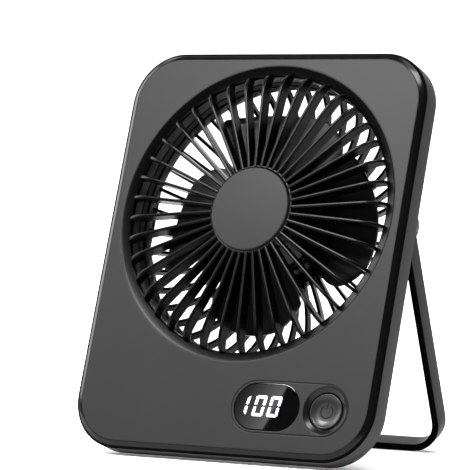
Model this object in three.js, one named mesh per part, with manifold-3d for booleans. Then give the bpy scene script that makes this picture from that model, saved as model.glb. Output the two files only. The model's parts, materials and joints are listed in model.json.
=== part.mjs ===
// Desk fan: a flat rectangular body with a round grille, carried by a folding U-shaped stand.
// Millimetres. The body is drawn upright in its own frame (x right, y towards the back, z up,
// fan axis through the origin, front face at y = 0) and is then leaned back onto its stand.
import * as THREE from 'three';
import { mergeVertices } from 'three/addons/utils/BufferGeometryUtils.js';
import Module from 'manifold-3d';

// ---------------------------------------------------------------- driving dimensions
const LEAN = THREE.MathUtils.degToRad(19.8);      // body leans back from upright
const STAND_OPEN = THREE.MathUtils.degToRad(39.6); // stand swings this far out of its folded place

const FACE = { half: 72.55, top: 72.35, bottom: 108.2, radius: 20.5 }; // flat of the front face
const TRIM_WIDTH = 3.25;      // chamfered band round the face
const TRIM_DEPTH = 1.75;
const FRAME_BACK = 11.65;     // rear edge of the side wall
const WALL = 2.0;
const BORE_FACETS = 64;
const PLATE = 2.4;            // thickness of the front plate
const GAP = 0.3;              // clearance between neighbouring pieces

const BORE_R = 69.0;          // round opening in the face
const BORE_BACK = 8.7;
const LIP_R = 64.5;           // the grille's rim funnels in from the opening to this radius
const LIP_BACK = 2.7;
const RIM_BACK = 8.3;         // joint between the grille's rim and the duct ring
const DUCT_BACK = 12.6;       // joint between the duct ring and the rear grille
const DUCT_R = 63.8;          // narrowest part of the air duct behind the opening
const HOLE_R = 65.2;          // hole in the rear cover
const HOLE_FRONT = 14.5;
const REAR_BACK = 20.2;       // flat back of the rear cover
const REAR = { half: 67.25, top: 72.8, bottom: 103.1, radius: 13 };

const RIBS = 40;
const RIB_THICK = 1.5;
const RIB_START = 4.5;        // degrees, first rib
const GRILLE_HUB_R = 20.6;
const CAP_R = 19.1;
const CAP_FRONT = -5.1;       // the cap stands proud of the face

const BLADES = 4;
const BLADE_R = 52.0;
const BLADE_START = -3.5;     // degrees, first blade
const HUB_R = 20.0;

const PANEL_Z = -88.7;        // height of the control row
const WINDOW_X = 23.1;
const WINDOW = { length: 32.5, height: 20.9 };
const BUTTON_X = 51.9;
const BUTTON_R = 7.9;
const WELL_R = 10.1;

const STAND = { half: 71.5, thick: 3.1, depth: 8.7, length: 107.6, radius: 15.5 };
const STAND_FRONT = 7.5;      // stand's front face ahead of its pivot
const EAR_R = 5.5;
const PIVOT = { y: 16.5, z: 0.55 };

const COVER_SCREWS = [[-58.5, 58.5], [58.5, 58.5], [-61, -70], [61, -70]];
const BOARD_SCREWS = [[41, -79.5], [41, -97.5]];
const MOTOR_SCREW_RING = 16.4;

// ---------------------------------------------------------------- colours
const PAINT = {
  grey: { color: 0x4b4b4c, roughness: 0.55, metalness: 0.0 },
  trim: { color: 0x151617, roughness: 0.25, metalness: 0.0 },
  black: { color: 0x121213, roughness: 0.45, metalness: 0.0 },
  glass: { color: 0x050506, roughness: 0.05, metalness: 0.0 },
  steel: { color: 0x9a9c9e, roughness: 0.35, metalness: 1.0 },
  magnet: { color: 0x3a3a3d, roughness: 0.5, metalness: 0.6 },
  copper: { color: 0xb06a3a, roughness: 0.35, metalness: 1.0 },
  board: { color: 0x14502d, roughness: 0.5, metalness: 0.0 },
  battery: { color: 0x9fa6ad, roughness: 0.4, metalness: 0.3 },
  rubber: { color: 0x1a1a1a, roughness: 0.9, metalness: 0.0 },
};

// ---------------------------------------------------------------- solid helpers
const wasm = await Module();
wasm.setup();

// A closed three.js geometry as a solid, with its faces turned outwards.
function solid(geometry) {
  const bare = geometry.clone();
  bare.deleteAttribute('normal');
  bare.deleteAttribute('uv');
  const merged = mergeVertices(bare, 1e-4);
  const vertProperties = new Float32Array(merged.attributes.position.array);
  const triVerts = new Uint32Array(merged.index.array);
  if (signedVolume(vertProperties, triVerts) < 0) {
    for (let i = 0; i < triVerts.length; i += 3) {
      [triVerts[i], triVerts[i + 1]] = [triVerts[i + 1], triVerts[i]];
    }
  }
  return new wasm.Manifold(new wasm.Mesh({ numProp: 3, vertProperties, triVerts }));
}

function signedVolume(points, triangles) {
  const corner = (k) => new THREE.Vector3().fromArray(points, 3 * triangles[k]);
  let sum = 0;
  for (let i = 0; i < triangles.length; i += 3) {
    sum += corner(i).dot(corner(i + 1).cross(corner(i + 2)));
  }
  return sum / 6;
}

function geometryOf(body) {
  const mesh = body.getMesh();
  const geometry = new THREE.BufferGeometry();
  geometry.setAttribute('position', new THREE.BufferAttribute(new Float32Array(mesh.vertProperties), 3));
  geometry.setIndex(new THREE.BufferAttribute(new Uint32Array(mesh.triVerts), 1));
  const flat = geometry.toNonIndexed();
  flat.computeVertexNormals();
  return flat;
}

const join = (...parts) => parts.reduce((a, b) => a.add(b));
const cut = (base, ...tools) => tools.reduce((a, b) => a.subtract(b), base);

// A 2-D outline (x right, y up) as a slab from y = front to y = back in the body's frame.
function slab(shape, front, back, curveSegments = 8) {
  const settings = { depth: back - front, bevelEnabled: false, curveSegments };
  const geometry = new THREE.ExtrudeGeometry(shape, settings);
  geometry.rotateX(Math.PI / 2);
  geometry.translate(0, back, 0);
  return solid(geometry);
}

// A closed profile of [radius, depth] points turned about the fan axis. With twice as many
// facets as ribs they are shifted by half a facet, so that a rib meets the middle of one.
function turned(profile, segments = RIBS) {
  const points = profile.map(([r, y]) => new THREE.Vector2(r, y));
  points.push(points[0].clone());
  const start = segments === 2 * RIBS ? Math.PI / segments : 0;
  return solid(new THREE.LatheGeometry(points, segments, start));
}

// A round plug on the fan axis, with the same facets as the turned pieces.
const plug = (radius, front, back, segments) => (
  turned([[0, front], [radius, front], [radius, back], [0, back]], segments)
);

// A round bar along the body's y axis.
function bar(x, z, radius, front, back, segments = 16) {
  const geometry = new THREE.CylinderGeometry(radius, radius, back - front, segments);
  geometry.translate(x, (front + back) / 2, z);
  return solid(geometry);
}

// A round bar along x.
function crossBar(y, z, radius, left, right, segments = 24) {
  const geometry = new THREE.CylinderGeometry(radius, radius, right - left, segments);
  geometry.rotateZ(Math.PI / 2);
  geometry.translate((left + right) / 2, y, z);
  return solid(geometry);
}

function block(x0, x1, y0, y1, z0, z1) {
  const geometry = new THREE.BoxGeometry(x1 - x0, y1 - y0, z1 - z0);
  geometry.translate((x0 + x1) / 2, (y0 + y1) / 2, (z0 + z1) / 2);
  return solid(geometry);
}

function roundedRect({ half, top, bottom, radius }) {
  const shape = new THREE.Shape();
  shape.moveTo(-half + radius, -bottom);
  shape.lineTo(half - radius, -bottom);
  shape.absarc(half - radius, -bottom + radius, radius, -Math.PI / 2, 0);
  shape.lineTo(half, top - radius);
  shape.absarc(half - radius, top - radius, radius, 0, Math.PI / 2);
  shape.lineTo(-half + radius, top);
  shape.absarc(-half + radius, top - radius, radius, Math.PI / 2, Math.PI);
  shape.lineTo(-half, -bottom + radius);
  shape.absarc(-half + radius, -bottom + radius, radius, Math.PI, Math.PI * 1.5);
  return shape;
}

// The outline grown outwards by an offset, which may be negative.
function grown({ half, top, bottom, radius }, offset) {
  return { half: half + offset, top: top + offset, bottom: bottom + offset, radius: radius + offset };
}

function stadium(cx, cz, length, height) {
  const r = height / 2;
  const shape = new THREE.Shape();
  shape.moveTo(cx - length / 2 + r, cz - r);
  shape.lineTo(cx + length / 2 - r, cz - r);
  shape.absarc(cx + length / 2 - r, cz, r, -Math.PI / 2, Math.PI / 2);
  shape.lineTo(cx - length / 2 + r, cz + r);
  shape.absarc(cx - length / 2 + r, cz, r, Math.PI / 2, Math.PI * 1.5);
  return shape;
}

// A ring that follows the face outline; its section is a list of [offset, depth] corners.
function outlineRing(section, cornerSteps = 8) {
  const { half, top, bottom, radius } = FACE;
  const centres = [
    [half - radius, radius - bottom, -90],
    [half - radius, top - radius, 0],
    [radius - half, top - radius, 90],
    [radius - half, radius - bottom, 180],
  ];
  const stations = [];
  for (const [cx, cz, start] of centres) {
    for (let k = 0; k <= cornerSteps; k += 1) {
      const angle = THREE.MathUtils.degToRad(start + (90 * k) / cornerSteps);
      stations.push([cx, cz, Math.cos(angle), Math.sin(angle)]);
    }
  }
  const points = [];
  for (const [cx, cz, nx, nz] of stations) {
    for (const [offset, y] of section) {
      points.push(cx + nx * (radius + offset), y, cz + nz * (radius + offset));
    }
  }
  return solid(gridGeometry(points, stations.length, section.length, true));
}

// Quads between rows of points; rows close on themselves, and columns do where it is a ring.
function gridGeometry(points, rows, columns, ring) {
  const index = [];
  const last = ring ? rows : rows - 1;
  for (let i = 0; i < last; i += 1) {
    for (let j = 0; j < columns; j += 1) {
      const a = i * columns + j;
      const b = i * columns + ((j + 1) % columns);
      const c = ((i + 1) % rows) * columns + ((j + 1) % columns);
      const d = ((i + 1) % rows) * columns + j;
      index.push(a, b, c, a, c, d);
    }
  }
  if (!ring) {
    const end = (rows - 1) * columns;
    for (let j = 0; j < columns / 2 - 1; j += 1) {
      const a = j;
      const b = j + 1;
      const c = columns - 2 - j;
      const d = columns - 1 - j;
      index.push(a, c, b, a, d, c);
      index.push(end + a, end + b, end + c, end + a, end + c, end + d);
    }
  }
  const geometry = new THREE.BufferGeometry();
  geometry.setAttribute('position', new THREE.Float32BufferAttribute(points, 3));
  geometry.setIndex(index);
  return geometry;
}

// A flat rib whose outline is drawn in the plane of radius and depth, one for each angle.
function ribs(outline, count = RIBS) {
  const shape = new THREE.Shape(outline.map(([r, y]) => new THREE.Vector2(r, y)));
  const settings = { depth: RIB_THICK, bevelEnabled: false };
  const made = [];
  for (let k = 0; k < count; k += 1) {
    const geometry = new THREE.ExtrudeGeometry(shape, settings);
    geometry.translate(0, 0, -RIB_THICK / 2);
    geometry.rotateY(-THREE.MathUtils.degToRad(RIB_START + (360 / count) * k));
    made.push(solid(geometry));
  }
  return made;
}

// ---------------------------------------------------------------- casing
function frontCover() {
  const plate = slab(roundedRect(grown(FACE, -0.15)), 0, PLATE);
  const boreWall = turned([
    [BORE_R, PLATE - 0.4], [BORE_R + 1.6, PLATE - 0.4],
    [BORE_R + 1.6, BORE_BACK], [BORE_R, BORE_BACK],
  ], BORE_FACETS);
  const bore = plug(BORE_R, -1, PLATE + 1, BORE_FACETS);
  const windowSeat = slab(stadium(WINDOW_X, PANEL_Z, WINDOW.length, WINDOW.height), -1, 1.9);
  const windowHole = slab(stadium(WINDOW_X, PANEL_Z, WINDOW.length - 4, WINDOW.height - 4), 1, 4);
  const buttonHole = bar(BUTTON_X, PANEL_Z, BUTTON_R + 0.4, -1, 6, 32);
  const wellGeometry = new THREE.CylinderGeometry(BUTTON_R + 0.4, WELL_R + 1.4, 2.6, 32);
  wellGeometry.translate(BUTTON_X, 0, PANEL_Z);
  const guide = bar(BUTTON_X, PANEL_Z, BUTTON_R + 2, PLATE - 0.4, 4.6, 32);
  const grooveOuter = slab(stadium(34.4, PANEL_Z, 57.8, 23.8), -1, 0.4);
  const grooveInner = slab(stadium(34.4, PANEL_Z, 56.6, 22.6), -2, 1);
  const bosses = COVER_SCREWS.map(([x, z]) => bar(x, z, 3.2, PLATE - 0.4, 9.0));
  const bossHoles = COVER_SCREWS.map(([x, z]) => bar(x, z, 1.5, 3.2, 10, 12));
  const pegs = BOARD_SCREWS.map(([x, z]) => bar(x, z, 2.4, PLATE - 0.4, 5.9));
  const pegHoles = BOARD_SCREWS.map(([x, z]) => bar(x, z, 1.2, 3.2, 7, 12));
  const pierced = cut(plate, bore, windowSeat, windowHole);
  const grooved = cut(pierced, cut(grooveOuter, grooveInner));
  const body = join(grooved, boreWall, guide, ...bosses, ...pegs);
  return cut(body, solid(wellGeometry), buttonHole, ...bossHoles, ...pegHoles);
}

function edgeTrim() {
  return outlineRing([[0.2, 0], [TRIM_WIDTH, TRIM_DEPTH], [TRIM_WIDTH, 1.9], [0.2, 1.9]]);
}

function sideFrame() {
  const wallIn = TRIM_WIDTH - WALL;
  const ring = outlineRing([
    [TRIM_WIDTH, 2.2], [TRIM_WIDTH, FRAME_BACK], [wallIn, FRAME_BACK],
    [wallIn, 4.2], [-3.0, 4.2], [-3.0, PLATE + GAP], [0.6, PLATE + GAP], [0.6, 2.2],
  ]);
  return cut(ring, plug(BORE_R + 1.9, -1, 6, BORE_FACETS));
}

function rearCover() {
  const outer = slab(roundedRect(REAR), 5.0, REAR_BACK);
  const inner = slab(roundedRect(grown(REAR, -WALL)), 0, REAR_BACK - WALL);
  const collar = turned([
    [HOLE_R, HOLE_FRONT], [67.2, HOLE_FRONT], [67.2, REAR_BACK - 1], [HOLE_R, REAR_BACK - 1],
  ], BORE_FACETS);
  const opening = turned([
    [0, 0], [BORE_R + 1.9, 0], [BORE_R + 1.9, 9.0], [69.1, 9.0], [69.1, 10.2],
    [67.6, 12.0], [67.6, HOLE_FRONT], [HOLE_R, HOLE_FRONT], [HOLE_R, 18.3], [67.4, REAR_BACK],
    [67.4, REAR_BACK + 1], [0, REAR_BACK + 1],
  ], BORE_FACETS);
  const bosses = COVER_SCREWS.map(([x, z]) => bar(x, z, 3.6, 9.3, REAR_BACK - 0.5));
  const holes = COVER_SCREWS.map(([x, z]) => bar(x, z, 1.5, 5, 21, 12));
  const sinks = COVER_SCREWS.map(([x, z]) => bar(x, z, 2.6, 18.6, 21));
  const port = slab(stadium(USB_X, USB_Z, 9.8, 4.0), 17, 22);
  const pins = [[-70, -65.6], [65.6, 70]].map(([left, right]) => (
    crossBar(PIVOT.y, PIVOT.z, 2.3, left, right)
  ));
  return cut(join(cut(outer, inner), collar, ...bosses), opening, ...holes, ...sinks, port, ...pins);
}

// The stepped ring between the front grille's rim and the rear cover.
function ductRing() {
  const inner = LIP_R - 0.2;
  return turned([
    [inner, RIM_BACK + GAP], [67.2, RIM_BACK + GAP], [67.2, HOLE_FRONT - GAP],
    [65.6, HOLE_FRONT - GAP], [65.6, DUCT_BACK], [inner, DUCT_BACK],
  ], BORE_FACETS);
}

// ---------------------------------------------------------------- grilles
function frontGrille() {
  const rise = { r: 55.6, y: 1.6, across: 10.0, deep: 5.8 };
  const outline = [[19.6, 2.2], [19.6, rise.y - rise.deep]];
  for (let k = 0; k <= 5; k += 1) {
    const a = (Math.PI / 2) * (k / 5);
    outline.push([rise.r + rise.across * Math.sin(a), rise.y - rise.deep * Math.cos(a)]);
  }
  outline.push([65.6, 3.0], [65.2, 5.6], [63.0, 3.4], [60.0, 2.2]);
  const outer = BORE_R - GAP;
  const rim = turned([
    [outer, GAP], [outer, 2.2], [66.1, 3.8], [66.1, RIM_BACK], [LIP_R, RIM_BACK], [LIP_R, LIP_BACK],
  ], 2 * RIBS);
  const hub = turned([
    [0, -2.4], [CAP_R + GAP, -2.4], [CAP_R + GAP, -3.9], [GRILLE_HUB_R, -3.9],
    [GRILLE_HUB_R, 2.2], [18.4, 2.2], [18.4, -0.4], [0, -0.4],
  ]);
  const capSeat = plug(CAP_R + GAP, -6, -2.4);
  return cut(join(hub, rim, ...ribs(outline)), capSeat);
}

function grilleCap() {
  return bar(0, 0, CAP_R, CAP_FRONT, -2.7, 48);
}

function rearGrille() {
  const spine = new THREE.CubicBezierCurve(
    new THREE.Vector2(64.6, 16.4), new THREE.Vector2(61.6, 26.5),
    new THREE.Vector2(48.0, 37.0), new THREE.Vector2(22.5, 39.4),
  );
  const steps = 5;
  const halfDepth = 1.9;
  const front = [];
  const back = [];
  for (let k = 0; k <= steps; k += 1) {
    const p = spine.getPoint(k / steps);
    const t = spine.getTangent(k / steps);
    front.push([p.x - t.y * halfDepth, p.y + t.x * halfDepth]);
    back.push([p.x + t.y * halfDepth, p.y - t.x * halfDepth]);
  }
  front[0] = [64.1, 15.4];
  back[0] = [64.6, 17.7];
  const outline = [...front, ...back.reverse()];
  const ring = turned([
    [DUCT_R, DUCT_BACK + GAP], [64.9, DUCT_BACK + GAP], [64.9, 18.0], [DUCT_R, 18.0],
  ], 2 * RIBS);
  const hub = turned([
    [0, 38.2], [19.0, 38.2], [19.0, 27.3], [21.2, 27.3], [21.2, 36.2],
    [24.5, 36.2], [24.5, 41.4], [0, 41.4],
  ]);
  const posts = motorScrewPlaces().map(([x, z]) => bar(x, z, 2.3, 27.3, 39));
  const pilots = motorScrewPlaces().map(([x, z]) => bar(x, z, 1.3, 26, 33.4, 12));
  return cut(join(ring, hub, ...ribs(outline), ...posts), ...pilots);
}

// ---------------------------------------------------------------- controls and electronics
const USB_X = 48;
const USB_Z = -82;
const BOARD_FRONT = 6.2;
const BOARD_BACK = 7.4;

function displayWindow() {
  return slab(stadium(WINDOW_X, PANEL_Z, WINDOW.length - 0.6, WINDOW.height - 0.6), 0.15, 1.6);
}

function powerButton() {
  const cap = bar(BUTTON_X, PANEL_Z, BUTTON_R, 0.9, 3.0, 32);
  const dish = new THREE.SphereGeometry(26, 32, 24);
  dish.translate(BUTTON_X, 0.9 + 0.8 - 26, PANEL_Z);
  const stem = bar(BUTTON_X, PANEL_Z, 2.0, 2.8, 3.3);
  return join(cut(cap, solid(dish)), stem);
}

function tactSwitch() {
  const can = block(BUTTON_X - 3, BUTTON_X + 3, 4.3, BOARD_FRONT - GAP, PANEL_Z - 3, PANEL_Z + 3);
  return join(can, bar(BUTTON_X, PANEL_Z, 1.7, 3.95, 4.5));
}

function displayModule() {
  return block(WINDOW_X - 14, WINDOW_X + 14, 4.3, BOARD_FRONT - GAP, PANEL_Z - 7.5, PANEL_Z + 7.5);
}

function mainBoard() {
  const board = block(5, 58, BOARD_FRONT, BOARD_BACK, -99.8, -76.5);
  return cut(board, ...BOARD_SCREWS.map(([x, z]) => bar(x, z, 1.5, 5, 9, 12)));
}

function usbSocket() {
  const shell = slab(stadium(USB_X, USB_Z, 9.0, 3.3), BOARD_BACK + GAP, 19.4);
  const mouth = slab(stadium(USB_X, USB_Z, 8.3, 2.6), 13.4, 21);
  const tongue = block(USB_X - 3.3, USB_X + 3.3, 12, 18.6, USB_Z - 0.35, USB_Z + 0.35);
  return join(cut(shell, mouth), tongue);
}

function batteryPack() {
  const shape = roundedRect({ half: 46, top: 12.3, bottom: 12.3, radius: 2.5 });
  return slab(shape, 9.6, 17.6, 3).translate([-10, 0, -88.3]);
}

// A pan-head screw that points forwards, with its head at the back.
function screw(x, z, shaft, tip, seat, head, top) {
  return join(bar(x, z, shaft, tip, seat + 0.2, 10), bar(x, z, head, seat, top, 14));
}

// ---------------------------------------------------------------- motor and impeller
function motorScrewPlaces() {
  return [90, 210, 330].map((degrees) => {
    const angle = THREE.MathUtils.degToRad(degrees);
    return [MOTOR_SCREW_RING * Math.cos(angle), MOTOR_SCREW_RING * Math.sin(angle)];
  });
}

function motorBase() {
  const body = turned([
    [3.4, 7.3], [5.1, 7.3], [5.1, 25.0], [20.0, 25.0], [20.0, 27.0], [3.4, 27.0],
  ]);
  return cut(body, ...motorScrewPlaces().map(([x, z]) => bar(x, z, 1.4, 24, 28, 12)));
}

function motorScrew([x, z]) {
  return join(bar(x, z, 1.0, 24.6, 32.9, 10), bar(x, z, 1.9, 23.5, 24.7, 14));
}

function ringPart(inner, outer, front, back, segments = 36) {
  return turned([[inner, front], [outer, front], [outer, back], [inner, back]], segments);
}

const POLES = 6;

function statorCore() {
  const teeth = [];
  for (let k = 0; k < POLES; k += 1) {
    const angle = -THREE.MathUtils.degToRad((360 / POLES) * k);
    const web = new THREE.BoxGeometry(6.4, 10, 2.6);
    web.translate(10, 14, 0);
    web.rotateY(angle);
    const shoe = new THREE.BoxGeometry(1.4, 10, 9.2);
    shoe.translate(13.3, 14, 0);
    shoe.rotateY(angle);
    teeth.push(solid(web), solid(shoe));
  }
  return join(ringPart(5.4, 7.6, 9, 19, 24), ...teeth);
}

// One winding: a squared ring round a tooth.
function statorCoil(k) {
  const outer = new THREE.BoxGeometry(3.2, 13.4, 6.0);
  const inner = new THREE.BoxGeometry(6, 10.6, 3.2);
  for (const geometry of [outer, inner]) {
    geometry.translate(10.6, 14, 0);
    geometry.rotateY(-THREE.MathUtils.degToRad((360 / POLES) * k));
  }
  return cut(solid(outer), solid(inner));
}

function impeller() {
  const cup = turned([
    [1.8, 3.2], [18.6, 3.2], [HUB_R, 4.6], [HUB_R, 22.6], [18.4, 22.6],
    [18.4, 5.2], [4.0, 5.2], [4.0, 6.9], [1.8, 6.9],
  ]);
  return join(cup, ...Array.from({ length: BLADES }, (_, k) => blade(BLADE_START + (360 / BLADES) * k)));
}

// One blade: from its rear edge (s = 0) it sweeps forwards to its front edge (s = 1).
function blade(turn) {
  const radii = [18.9, 27, 35, 41, 45.5, 48.8, 51, BLADE_R];
  const columns = 9;
  const thick = 1.5;
  const points = [];
  for (const r of radii) {
    const out = (r - 18.9) / (BLADE_R - 18.9);
    const rear = -37 + 19 * Math.max(0, (r - 36) / 16) ** 3;
    const front = 42 - 3 * out;
    const upper = [];
    const lower = [];
    for (let j = 0; j < columns; j += 1) {
      const s = j / (columns - 1);
      const angle = THREE.MathUtils.degToRad(turn + rear + (front - rear) * s);
      const depth = 21.6 + 1.2 * out - (16.6 + 0.4 * out) * s ** (1.3 + 1.4 * out);
      upper.push([r * Math.cos(angle), depth, r * Math.sin(angle)]);
      lower.push([r * Math.cos(angle), depth - thick, r * Math.sin(angle)]);
    }
    points.push(...upper.flat(), ...lower.reverse().flat());
  }
  return solid(gridGeometry(points, radii.length, 2 * columns, false));
}

// ---------------------------------------------------------------- stand
function standBail() {
  const { half, thick, depth, length, radius } = STAND;
  const outer = roundedRect({ half, top: 30, bottom: length, radius });
  const inner = roundedRect({
    half: half - thick, top: 40, bottom: length - thick, radius: radius - thick,
  });
  const hoop = cut(slab(outer, -20, 20), slab(inner, -21, 21));
  const back = depth - STAND_FRONT;
  const side = new THREE.Shape();
  side.moveTo(back, -length - 5);
  side.lineTo(back, -Math.sqrt(EAR_R ** 2 - back ** 2));
  side.absarc(0, 0, EAR_R, -Math.acos(back / EAR_R), Math.PI * 1.08);
  side.lineTo(-STAND_FRONT, -14);
  side.lineTo(-STAND_FRONT, -length - 5);
  const settings = { depth: 2 * half + 10, bevelEnabled: false, curveSegments: 20 };
  const geometry = new THREE.ExtrudeGeometry(side, settings);
  geometry.rotateX(Math.PI / 2);
  geometry.rotateZ(Math.PI / 2);
  geometry.translate(-half - 5, 0, 0);
  const bores = [-1, 1].flatMap((s) => [
    crossBar(0, 0, 2.08, s > 0 ? 60 : -80, s > 0 ? 80 : -60),
    crossBar(0, 0, 3.9, s > 0 ? half - 1.4 : -80, s > 0 ? 80 : 1.4 - half),
  ]);
  return cut(hoop.intersect(solid(geometry)), ...bores);
}

function hingePin(side) {
  const half = STAND.half;
  const shaft = crossBar(0, 0, 2.0, 65.9, half - 1.0);
  const head = crossBar(0, 0, 3.5, half - 1.1, half - 0.2);
  return join(shaft, head).scale([side, 1, 1]);
}

function frictionWasher(side) {
  const washer = cut(crossBar(0, 0, 4.3, 67.55, 68.1), crossBar(0, 0, 2.3, 60, 80));
  return washer.scale([side, 1, 1]);
}

// ---------------------------------------------------------------- assembly
const body = new THREE.Group();
body.rotation.x = -LEAN;

const hinge = new THREE.Group();
hinge.position.set(0, PIVOT.y, PIVOT.z);
body.add(hinge);

const stand = new THREE.Group();
stand.rotation.x = STAND_OPEN;
hinge.add(stand);

function place(group, name, paint, part) {
  const mesh = new THREE.Mesh(geometryOf(part), new THREE.MeshStandardMaterial(PAINT[paint]));
  mesh.name = name;
  group.add(mesh);
}

place(body, 'front_cover', 'grey', frontCover());
place(body, 'edge_trim', 'trim', edgeTrim());
place(body, 'side_frame', 'grey', sideFrame());
place(body, 'rear_cover', 'grey', rearCover());
place(body, 'duct_ring', 'black', ductRing());
place(body, 'front_grille', 'black', frontGrille());
place(body, 'grille_cap', 'grey', grilleCap());
place(body, 'rear_grille', 'black', rearGrille());

place(body, 'display_window', 'glass', displayWindow());
place(body, 'display_module', 'black', displayModule());
place(body, 'power_button', 'black', powerButton());
place(body, 'tact_switch', 'steel', tactSwitch());
place(body, 'main_board', 'board', mainBoard());
place(body, 'usb_socket', 'steel', usbSocket());
place(body, 'battery_pack', 'battery', batteryPack());

place(body, 'motor_base', 'black', motorBase());
place(body, 'motor_board', 'board', ringPart(5.5, 13.6, 21.6, 22.8));
place(body, 'stator_core', 'steel', statorCore());
for (let k = 0; k < POLES; k += 1) {
  place(body, `stator_coil_${k + 1}`, 'copper', statorCoil(k));
}
place(body, 'front_bearing', 'steel', ringPart(1.6, 3.1, 7.6, 10.6, 24));
place(body, 'rear_bearing', 'steel', ringPart(1.6, 3.1, 22.6, 25.6, 24));

place(body, 'impeller', 'black', impeller());
place(body, 'rotor_bell', 'steel', turned([
  [4.4, 5.5], [18.0, 5.5], [18.0, 21.2], [17.1, 21.2], [17.1, 6.5], [4.4, 6.5],
]));
place(body, 'magnet_ring', 'magnet', ringPart(15.2, 16.8, 7.6, 20.4, 40));
place(body, 'motor_shaft', 'steel', bar(0, 0, 1.5, 3.4, 28.6, 20));
place(body, 'shaft_clip', 'steel', ringPart(1.8, 3.0, 27.4, 28.2, 20));

COVER_SCREWS.forEach(([x, z], k) => {
  place(body, `cover_screw_${k + 1}`, 'steel', screw(x, z, 1.2, 4.2, 18.9, 2.3, 20.0));
});
BOARD_SCREWS.forEach(([x, z], k) => {
  place(body, `board_screw_${k + 1}`, 'steel', screw(x, z, 0.9, 3.6, 7.7, 1.9, 8.8));
});
motorScrewPlaces().forEach((spot, k) => {
  place(body, `motor_screw_${k + 1}`, 'steel', motorScrew(spot));
});

place(stand, 'stand_bail', 'grey', standBail());
for (const [name, side] of [['left', -1], ['right', 1]]) {
  place(hinge, `hinge_pin_${name}`, 'steel', hingePin(side));
  place(hinge, `friction_washer_${name}`, 'steel', frictionWasher(side));
}

// The origin is on the table, under the middle of the whole object's box.
const fan = new THREE.Group();
fan.add(body);
fan.updateMatrixWorld(true);
const box = new THREE.Box3().setFromObject(fan, true);
body.position.set(0, -(box.min.y + box.max.y) / 2, -box.min.z);
fan.updateMatrixWorld(true);

export default fan;
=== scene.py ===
"""Looks of the desk fan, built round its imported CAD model."""

import json
import math

import bmesh
import bpy
from mathutils import Matrix, Vector
from mathutils.geometry import tessellate_polygon


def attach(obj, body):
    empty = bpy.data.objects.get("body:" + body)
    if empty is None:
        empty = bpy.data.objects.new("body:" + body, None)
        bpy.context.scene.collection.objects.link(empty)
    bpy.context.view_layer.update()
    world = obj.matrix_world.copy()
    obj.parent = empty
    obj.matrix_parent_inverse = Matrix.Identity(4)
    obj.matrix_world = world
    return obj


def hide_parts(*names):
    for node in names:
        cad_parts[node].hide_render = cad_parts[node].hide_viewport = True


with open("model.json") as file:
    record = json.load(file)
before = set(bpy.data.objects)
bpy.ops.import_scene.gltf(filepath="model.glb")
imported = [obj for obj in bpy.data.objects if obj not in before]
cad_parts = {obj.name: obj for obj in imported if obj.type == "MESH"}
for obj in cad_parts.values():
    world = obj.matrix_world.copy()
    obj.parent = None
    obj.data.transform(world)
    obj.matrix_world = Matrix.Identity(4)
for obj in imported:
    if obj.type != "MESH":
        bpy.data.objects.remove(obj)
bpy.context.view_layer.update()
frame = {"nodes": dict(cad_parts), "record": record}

# ---------------------------------------------------------------- frames and sizes
# Shapes are drawn in millimetres, and MM turns them to metres. In metres, points closer than WELD are
# joined and edges shorter than SLIVER are dropped.
# Body frame: x right, w back along the fan's axis, u up the face; the axis crosses the face at 0.
JOINTS = {joint["name"]: joint for joint in frame["record"]["behaviour"]["joints"]}
AXIS = Vector(JOINTS["impeller_spin"]["axis"]).normalized()
ORIGIN = Vector(JOINTS["impeller_spin"]["pos_m"])
LEAN = math.atan2(-AXIS.z, AXIS.y)
MM = Matrix.Scale(0.001, 4)
WELD = 2e-6
SLIVER = 1e-7
BODY = Matrix.Translation(ORIGIN) @ Matrix.Rotation(-LEAN, 4, "X") @ MM
# How far the stand is open at rest, from flat against the back.
STAND_OPEN = math.radians(39.6)
PIVOT = Vector(JOINTS["stand_fold"]["pos_m"])
STAND = Matrix.Translation(PIVOT) @ Matrix.Rotation(STAND_OPEN - LEAN, 4, "X") @ MM

# Outlines: half the width, the height above and below the axis, and the corner radius.
FACE = dict(half=72.55, top=72.35, bottom=108.2, radius=20.5)
REAR = dict(half=67.25, top=72.8, bottom=103.1, radius=13.0)

# Places along w, from the face back.
RIB_FRONT = -4.2
RIB_BACK = 2.2
GLASS_FRONT = 0.12
PLATE_BACK = 2.4
TRIM_FOOT = 1.75
TRIM_BACK = 2.05
FRAME_FRONT = 2.12
FRAME_BACK = 11.65
BORE_BACK = 8.7
TUB_FRONT = 5.0
TUB_INSIDE = 18.2
REAR_BACK = 20.2

# How far the trim stands out from the face's outline, and how much of that is its matt black rim, which is
# painted shade along the outer edge.
TRIM = 3.25
RIM = 1.15

# The round opening, the grilles in it and the drive behind it.
BORE_R = 69.0
RIB_COUNT = 40
RIB_PITCH = 360 / RIB_COUNT
RIBS = [math.radians(RIB_PITCH * (k + 0.5)) for k in range(RIB_COUNT)]
RIB_THICK = 1.5
RIB_EDGE = 0.32
CAP_R = 19.1
BLADES = 4
# Turns the blades to where the photograph has them, in degrees.
BLADE_START = -3.5
MOTOR_SCREW_R = 16.4

# The control row.
PANEL_U = -88.7
RACETRACK_X = 34.4
RACETRACK_SIZE = (57.8, 23.6)
WINDOW_X = 23.1
WINDOW_SIZE = (32.8, 21.3)
GLASS_SIZE = (32.6, 21.1)
BUTTON_X = 51.9
WELL_R = 10.6


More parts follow.
